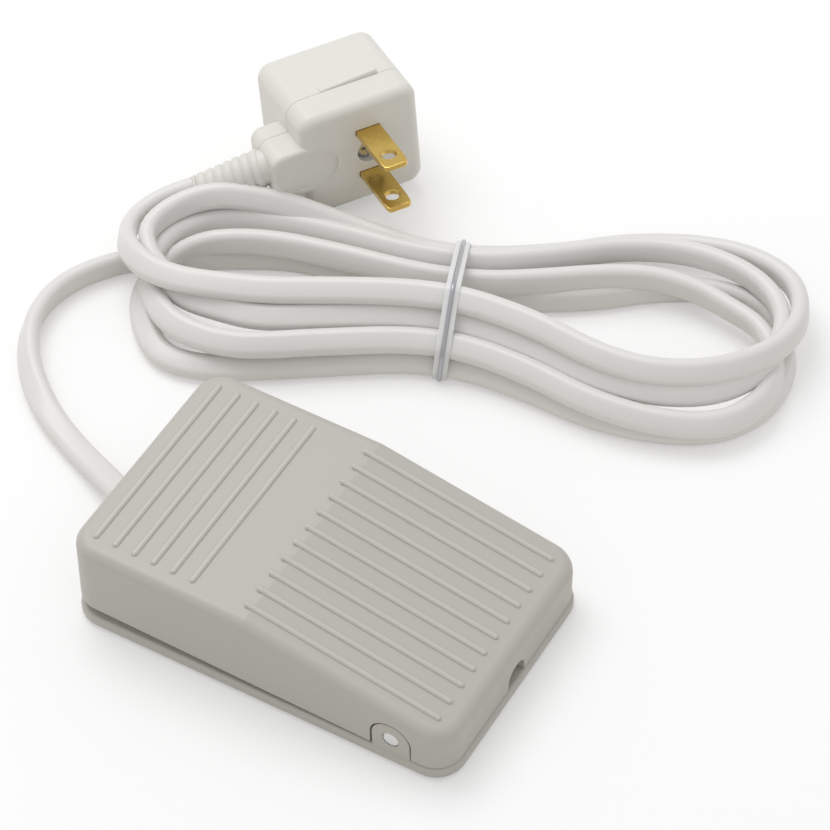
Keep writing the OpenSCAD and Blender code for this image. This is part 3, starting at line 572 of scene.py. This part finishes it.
tread = block((-tread_wide, -tread_long, skirt), (tread_wide, tread_long, 30))
bmesh.ops.bisect_plane(tread, geom=tread.verts[:] + tread.edges[:] + tread.faces[:],
                       plane_co=(0, bend_place, 0), plane_no=(0, 1, 0))
for v in tread.verts:
    if v.co.z > 20:
        v.co.z = top_level(v.co.y)
soften(tread, tread_corner, 10, lambda middle, way, normals: abs(way.z) > 0.9 and abs(middle.y) > 40)
soften(tread, tread_edge, 6, lambda middle, way, normals: max(n.z for n in normals) > 0.9
       and min(n.z for n in normals) < 0.5)
soften(tread, 1.2, 3, lambda middle, way, normals: abs(way.x) > 0.9 and min(n.z for n in normals) > 0.9)
bmesh.ops.delete(tread, geom=[f for f in tread.faces if f.normal.z < -0.9], context="FACES_ONLY")
treadle = joined("treadle", [tread])
thick = treadle.modifiers.new("wall", "SOLIDIFY")
thick.thickness, thick.offset, thick.use_even_offset = wall * mm, -1, True
openings = []
for end in (-1, 1):
    notch = block((-exit_half, end * 52, 0), (exit_half, end * 45, skirt + 5.4))
    soften(notch, exit_half - 0.01, 10, lambda middle, way, normals: abs(way.y) > 0.9 and middle.z > 5)
    openings.append(notch)
openings += [arch(x0, x1, ear_radius + 0.4, 0) for x0, x1 in ((27, 32), (-32, -27))]
treadle = carve(treadle, *[("DIFFERENCE", joined("cut", [opening])) for opening in openings])
ribs = []
for i in range(6):
    y = rib_end - i * rib_pitch
    ribs.append(((0, y, top_level(y)), 2 * cross_rib_half, 0, -toe_slope))
for i in range(-5, 6):
    y = (bend_place - rib_end + rib_past_bend) / 2
    ribs.append(((i * rib_pitch, y, top_level(y)), bend_place + rib_end + rib_past_bend, math.pi / 2,
                 heel_slope))
inside = []
for spot, length, turn, slope in ribs:
    rib = bmesh.new()
    bmesh.ops.create_uvsphere(rib, u_segments=16, v_segments=11, radius=rib_wide / 2)
    bmesh.ops.rotate(rib, matrix=Matrix.Rotation(math.pi / 2, 3, "Y"), verts=rib.verts)
    bmesh.ops.scale(rib, vec=(1, 1, rib_high / (rib_wide / 2)), verts=rib.verts)
    for v in rib.verts:
        v.co.x += math.copysign(length / 2, v.co.x)
    bmesh.ops.transform(rib, verts=rib.verts, matrix=Matrix.Translation(spot) @ Matrix.Rotation(slope, 4, "X")
                        @ Matrix.Rotation(turn, 4, "Z"))
    inside.append(rib)
for side in (-1, 1):
    lug = arch(side * 24.5, side * 27.1, 4.1, 4)
    bmesh.ops.rotate(lug, matrix=Matrix.Rotation(math.pi, 3, "X"), verts=lug.verts,
                     cent=(0, pin_place, pin_level))
    peg = bar((side * spring_x, spring_y, top_level(spring_y) - 5.4),
              (side * spring_x, spring_y, top_level(spring_y) - 1), peg_radius)
    inside += [lug, peg]
for y in (-8, -18, -28):
    inside.append(block((-28.2, y - 0.7, top_level(y) - 4.6), (28.2, y + 0.7, top_level(y) - 1.2)))
inside.append(block((-3, 15, 19.4), (3, 21, 22.6)))
grips = joined("treadle_ribs", inside)
lift = (Matrix.Translation(Vector((0, pin_place, pin_level)) * mm) @ Matrix.Rotation(rest_lift, 4, "X")
        @ Matrix.Translation(Vector((0, -pin_place, -pin_level)) * mm))
# The grip's tone is lighter than the housing's as a painted highlight on the rib crests, and its lower
# roughness makes them glossier. The lugs, pegs and bars inside share it.
grip_painted_highlight = moulded("grip_plastic_painted_highlight", (0.575, 0.56, 0.515), (0.54, 0.525, 0.48), roughness=0.3)
for piece, finish in ((treadle, housing), (grips, grip_painted_highlight)):
    piece.data.transform(lift)
    finish_edges(piece)
    settle(piece, finish, "treadle", "treadle_plastic", "pedal_cover")

# ---- Hinge pin ----
# A bright steel pin with turned, chamfered ends. It is pressed through both ears of the base, and
# the treadle's lugs turn on it.
pin_reach = 30.2
pin = bar((-pin_reach, pin_place, pin_level), (pin_reach, pin_place, pin_level), pin_radius, 48)
for end in (-1, 1):
    face = [f for f in pin.faces if f.normal.x * end > 0.9]
    bmesh.ops.inset_region(pin, faces=face, thickness=0.45, depth=-0.02)
    bmesh.ops.inset_region(pin, faces=face, thickness=0.12, depth=-0.12)
soften(pin, 0.3, 3, lambda middle, way, normals: abs(middle.x) > pin_reach - 0.001
       and min(abs(n.x) for n in normals) < 0.1)


def metal(name, tone, deep, roughness, drawn):
    """Bare metal: fine drawing lines across the stretched axes, and slow tarnish in tone and gloss."""
    material, shader, place = finish_named(name, metallic=1.0, roughness=roughness)
    stretched = place.add("Mapping", None, {"Vector": place, "Scale": drawn})
    lines = place.add("TexNoise", None, {"Vector": stretched, "Scale": 1.0, "Detail": 3.0})
    cloud = place.add("TexNoise", None, {"Vector": place, "Scale": 90.0, "Detail": 4.0})
    lumps = place.add("Bump", None, {"Strength": 0.1, "Distance": 0.0001, "Height": lines})
    feed(shader, base_color=cloud.between(deep, tone),
         roughness=lines * 0.1 + cloud * 0.1 + (roughness - 0.1), normal=lumps)
    return material


bright_steel = metal("pin_steel", (0.80, 0.80, 0.79), (0.66, 0.66, 0.65), 0.24, (300, 2500, 2500))
pin = joined("hinge_pin", [pin])
finish_edges(pin)
settle(pin, bright_steel, "base", "pin_steel", "hinge_pin")

# ---- Springs ----
# Two music-wire compression springs with closed ends. They stand on pegs under the toe half, lift
# the treadle, and shorten as it goes down.
coil_radius, wire_radius, coil_turns, coil_parts, wire_sides = 4.1 * mm, 0.4 * mm, 7, 24, 8
coil_low, coil_high, springs_keep = 3.25 * mm, 22.5 * mm, 0.87
coils = bmesh.new()
for side in (-1, 1):
    rings = []
    for i in range(coil_turns * coil_parts + 1):
        along = i / coil_parts
        closed = 2 * wire_radius * (min(along, 1) + max(along - coil_turns + 1, 0))
        opened = min(max((along - 1) / (coil_turns - 2), 0), 1) * (coil_high - coil_low - 4 * wire_radius)
        out = Vector((math.cos(along * math.tau), math.sin(along * math.tau), 0))
        middle = Vector((side * spring_x * mm, spring_y * mm, coil_low + closed + opened)) + out * coil_radius
        round_wire = (k * math.tau / wire_sides for k in range(wire_sides))
        rings.append([coils.verts.new(middle + wire_radius * (out * math.cos(a) + Vector((0, 0, math.sin(a)))))
                      for a in round_wire])
    for a, b in zip(rings, rings[1:]):
        for k in range(wire_sides):
            coils.faces.new((a[k], a[k - 1], b[k - 1], b[k]))
    coils.faces.new(rings[0])
    coils.faces.new(rings[-1])
springs = made("springs", coils, sharp=50)
spring_steel = metal("spring_steel", (0.55, 0.56, 0.58), (0.42, 0.43, 0.45), 0.3, (900, 900, 900))
settle(springs, spring_steel, "base", "spring_steel", "return_springs")
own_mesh(springs)

# ---- Snap switch ----
# A bought-in switch: black phenolic case and cover with a red plunger, moulded in hard plastic and
# screwed to the tray's bracket. The treadle's post pushes the plunger down.
black = moulded("switch_plastic", (0.030, 0.030, 0.032), (0.020, 0.020, 0.022), roughness=0.5)
wear(node["switch_case"], black)
wear(node["switch_cover"], black)
red = moulded("plunger_plastic", (0.42, 0.035, 0.02), (0.34, 0.02, 0.015), roughness=0.35)
wear(node["switch_plunger"], red)

# ---- Terminals ----
# Blade tabs of the switch, the push-on connectors on the cores, and the outlet contacts in the
# plug, all stamped and folded from brass strip.
brass = metal("contact_brass", (0.74, 0.55, 0.22), (0.60, 0.42, 0.15), 0.3, (1500, 120, 1500))
for name in ("switch_terminals", "spade_connectors", "socket_contacts"):
    wear(node[name], brass)

# ---- Screws ----
# Zinc-plated pan head steel screws, cold formed. They hold the switch to its bracket and the cord
# clamp to its posts.
zinc = metal("screw_steel", (0.70, 0.71, 0.72), (0.55, 0.56, 0.57), 0.32, (700, 700, 700))
for name in ("switch_screws", "clamp_screws"):
    wear(node[name], zinc)

# ---- Core wires ----
# The cord's two insulated cores, bared of the sheath. They run to the switch's connectors, and
# again from the boot to the contacts in the plug.
core_finish = moulded("core_sheath", (0.80, 0.79, 0.76), (0.72, 0.71, 0.68), roughness=0.4)
for name in ("core_wires", "plug_leads"):
    wear(node[name], core_finish)

# ---- Plug's boot ----
# A soft ribbed sleeve that keeps the cord from kinking. It tapers away from the plug's collar,
# turned and drooping to where the cord lies.
plug_place = (Matrix.Translation((114.8, 56.4, 18.3)) @ Matrix.Rotation(math.radians(-34), 4, "Z")
              @ Matrix.Rotation(math.radians(-6), 4, "X"))
body_left, body_right, body_high, parting, body_back = -17.5, 13.9, 15, 8.9, 28
collar_left, collar_high, collar_back = -25.5, 6.8, 14.7
boot_turn, boot_droop = math.radians(-18), math.radians(-103)
boot_root = Vector((collar_left, collar_back / 2, 0))
boot_way = (Matrix.Rotation(boot_turn, 3, "Z") @ Matrix.Rotation(boot_droop, 3, "Y")
            @ Vector((0, 0, 1)))
boot_long, boot_root_r, boot_tip_r, boot_ridges = 17.3, 5.1, 3.4, 7


def turned(profile, start, end, sides):
    """A solid turned about Z from pairs of radius and height, closed on the axis at both ends."""
    mesh = bmesh.new()
    before = mesh.verts.new((0, 0, start))
    for r, z in profile:
        after = mesh.verts.new((r, 0, z))
        mesh.edges.new((before, after))
        before = after
    mesh.edges.new((before, mesh.verts.new((0, 0, end))))
    bmesh.ops.spin(mesh, geom=mesh.verts[:] + mesh.edges[:], cent=(0, 0, 0), axis=(0, 0, 1),
                   angle=2 * math.pi, steps=sides, use_merge=True)
    bmesh.ops.remove_doubles(mesh, verts=mesh.verts, dist=0.001)
    return mesh


profile = [(boot_root_r - 0.6, -3), (boot_root_r - 0.6, 0)]
pitch = (boot_long - 1) / boot_ridges
for i in range(boot_ridges):
    for t in (0.0, 0.06, 0.16, 0.32, 0.5, 0.68, 0.84, 0.94):
        x = (i + t) * pitch
        crown = boot_root_r + (boot_tip_r - boot_root_r) * x / boot_long
        swell = math.sin(math.pi * min(t + 0.02, 0.98)) ** 0.5
        profile.append((crown - 0.75 * (1 - swell), x + 0.2))
profile += [(boot_tip_r - 0.5, boot_long - 0.8), (boot_tip_r, boot_long - 0.6),
            (boot_tip_r, boot_long - 0.25), (boot_tip_r - 0.25, boot_long)]
sleeve = turned(profile, -3, boot_long, 48)
bmesh.ops.transform(sleeve, verts=sleeve.verts, matrix=Matrix.Translation(boot_root)
                    @ boot_way.to_track_quat("Z", "Y").to_matrix().to_4x4())
neck = bar(boot_root - Vector((0.6, 0, 0)), boot_root + Vector((6, 0, 0)), 4.5)
boot = joined("plug_boot_sleeve", [sleeve, neck], plug_place)
ivory = moulded("plug_plastic", (0.775, 0.765, 0.715), (0.735, 0.722, 0.668), roughness=0.38, bump=0.06)
soft_ivory = moulded("boot_plastic", (0.76, 0.755, 0.71), (0.71, 0.70, 0.65), roughness=0.46, bump=0.08)
settle(boot, soft_ivory, "base", "plug_plastic", "plug_boot")

# ---- Plug's front shell ----
# The half that faces the socket: ivory moulding with a bare oval, slots for the blades and a sunk
# seat for the screw. Half of the collar that grips the boot is part of it.
blade_apart = 12.7


def lengthwise(middle, way, normals):
    """Wanted by soften: edges that run along Y."""
    return abs(way.y) > 0.9


def cushion(low, high, corner, edge, face_at):
    """A block along Y with round corners, a rounded face at one end and a fine lip at the other."""
    mesh = block(low, high)
    soften(mesh, corner, 8, lengthwise)
    soften(mesh, edge, 6, lambda middle, way, normals: abs(middle.y - face_at) < 0.001)
    other = low[1] if abs(low[1] - face_at) > 0.001 else high[1]
    soften(mesh, 0.28, 2, lambda middle, way, normals: abs(middle.y - other) < 0.001)
    return mesh


def plug_part(name, *solids):
    """An object of solids given in the plug's own place."""
    return joined(name, solids, plug_place)


def shell(name, near, far, collar_far, face_at, collar_face):
    """A shell between two depths with its half of the collar: the step that carve joins to it."""
    body = cushion((body_left, near, -body_high), (body_right, far, body_high), 4, 2.5, face_at)
    collar = cushion((collar_left, near, -collar_high), (body_left + 8, collar_far, collar_high),
                     3, 1.2, collar_face)
    return plug_part(name, body), ("UNION", plug_part("cut", collar))


front, front_collar = shell("front_shell", 0, parting, parting, 0, 0)
oval_seat = block((body_left - 7, -1, -5), (body_left + 9, 0.4, 5))
soften(oval_seat, 4.99, 12, lengthwise)
slots = [block((-3.3, -1, z - 0.88), (3.3, 3, z + 0.88)) for z in (-blade_apart / 2, blade_apart / 2)]
screw_seat = bar((0, -1, 0), (0, 3.4, 0), 3.3, 48)
front = carve(front, front_collar, ("DIFFERENCE", plug_part("cut", oval_seat)),
              ("DIFFERENCE", plug_part("cut", *slots)), ("DIFFERENCE", plug_part("cut", screw_seat)))
finish_edges(front)
settle(front, ivory, "base", "plug_plastic", "plug_front_shell")

# ---- Plug's rear shell ----
# The back half, with the outlet slots in its far face and a finger ledge that rises along the
# parting line on top.
rear, rear_collar = shell("rear_shell", parting, body_back, collar_back, body_back, collar_back)
outlets = [block((-4, body_back - 5, z - 1), (4, body_back + 1, z + 1))
           for z in (-blade_apart / 2, blade_apart / 2)]
rear = carve(rear, rear_collar, ("DIFFERENCE", plug_part("cut", *outlets)))
ledge = block((0, 0, 0), (15.5, 2.2, 1.3))
soften(ledge, 0.45, 4, lambda middle, way, normals: middle.z > 0.6)
bmesh.ops.transform(ledge, verts=ledge.verts, matrix=Matrix.Translation((-8, parting, body_high - 1))
                    @ Matrix.Rotation(math.radians(-3.5), 4, "Y"))
ledge = plug_part("finger_ledge", ledge)
for piece in (rear, ledge):
    finish_edges(piece)
    settle(piece, ivory, "base", "plug_plastic", "plug_rear_shell")

# ---- Blades ----
# Two flat blades stamped from brass strip, each with round corners, a chamfered nose and a flared
# hole near its tip. Their roots are held between the two shells.
blade_half, blade_tip, blade_thick, hole_from_tip = 3.175, 16.7, 1.5, 4.8
blade_brass = metal("blade_brass", (0.78, 0.56, 0.17), (0.62, 0.42, 0.11), 0.27, (1800, 90, 1800))
flare = ((2.4, -1.5), (2.05, -0.75), (1.75, -0.45), (1.75, 0.45), (2.05, 0.75), (2.4, 1.5))
prongs, holes = [], []
for z in (-blade_apart / 2, blade_apart / 2):
    prong = block((-blade_half, -blade_tip, z - blade_thick / 2), (blade_half, parting, z + blade_thick / 2))
    soften(prong, 1.2, 5, lambda middle, way, normals: abs(way.z) > 0.9 and middle.y < 0)
    soften(prong, 0.42, 2, lambda middle, way, normals: abs(way.z) < 0.1 and middle.y < -10)
    prongs.append(prong)
    hole = turned(flare, -1.5, 1.5, 40)
    bmesh.ops.recalc_face_normals(hole, faces=hole.faces)
    bmesh.ops.translate(hole, vec=(0, hole_from_tip - blade_tip, z), verts=hole.verts)
    holes.append(hole)
blades = carve(plug_part("blades", *prongs), ("DIFFERENCE", plug_part("cut", *holes)))
finish_edges(blades)
settle(blades, blade_brass, "base", "blade_brass", "plug_blades")

# ---- Plug's screw ----
# A zinc-plated steel screw with a rounded head and a cross recess. It is sunk in its seat between
# the blades and draws the two shells together.
head = bar((0, 1.4, 0), (0, 3.4, 0), 3, 40)
soften(head, 0.9, 5, lambda middle, way, normals: middle.y < 1.41)
plug_screw = plug_part("plug_screw_head", head, bar((0, 3, 0), (0, 12, 0), 1.5))
recess = [block((-1.65, 0, -0.35), (1.65, 2.5, 0.35)), block((-0.35, 0, -1.65), (0.35, 2.5, 1.65))]
plug_screw = carve(plug_screw, *[("DIFFERENCE", plug_part("cut", arm)) for arm in recess])
finish_edges(plug_screw)
settle(plug_screw, zinc, "base", "screw_steel", "plug_screw")

# ---- Table and light ----
# A wide pale board under an even sky, and one big soft lamp high behind the toe. What the lens
# sees of the board is lightened; what the board throws back on the object is not.
board_half, board_glow, sky_strength = 3, 0.35, 0.69
lamp_place, lamp_aim, lamp_size, lamp_power = Vector((0.25, 0.45, 0.95)), Vector((0.05, 0.02, 0)), 0.8, 4.4
sheet = bmesh.new()
bmesh.ops.create_grid(sheet, x_segments=1, y_segments=1, size=board_half)
table = made("table", sheet)
board = bpy.data.materials.new("board")
board.use_nodes = True
board_tree = board.node_tree
board_paint = board_tree.nodes["Principled BSDF"]
board_paint.inputs["Roughness"].default_value = 0.9
board_paint.inputs["Specular IOR Level"].default_value = 0.1
ray_kind = board_tree.nodes.new("ShaderNodeLightPath")
looked_at, glossy, through = (Wire(board_tree, ray_kind.outputs[kind])
                              for kind in ("Is Camera Ray", "Is Glossy Ray", "Is Transmission Ray"))
looked_at = looked_at + glossy + through
feed(board_paint, base_color=looked_at.between((0.80, 0.77, 0.72), (1, 1, 1)))
white = looked_at.add("Emission", None, {"Color": (1, 1, 1, 1), "Strength": 1.0})
paint = Wire(board_tree, board_paint.outputs[0])
mixed = looked_at.add("MixShader", None, {0: looked_at * board_glow, 1: paint, 2: white})
board_tree.links.new(mixed.socket, board_tree.nodes["Material Output"].inputs["Surface"])
wear(table, board)

sky = bpy.data.worlds.new("sky")
bpy.context.scene.world = sky
sky.use_nodes = True
glow = sky.node_tree.nodes["Background"]
glow.inputs["Color"].default_value = (1, 1, 1, 1)
glow.inputs["Strength"].default_value = sky_strength

lamp = bpy.data.objects.new("lamp", bpy.data.lights.new("lamp", "AREA"))
lamp.data.shape = "DISK"
lamp.data.size = lamp_size
lamp.data.energy = lamp_power
lamp.matrix_world = (Matrix.Translation(lamp_place)
                     @ (lamp_place - lamp_aim).to_track_quat("Z", "Y").to_matrix().to_4x4())
bpy.context.scene.collection.objects.link(lamp)
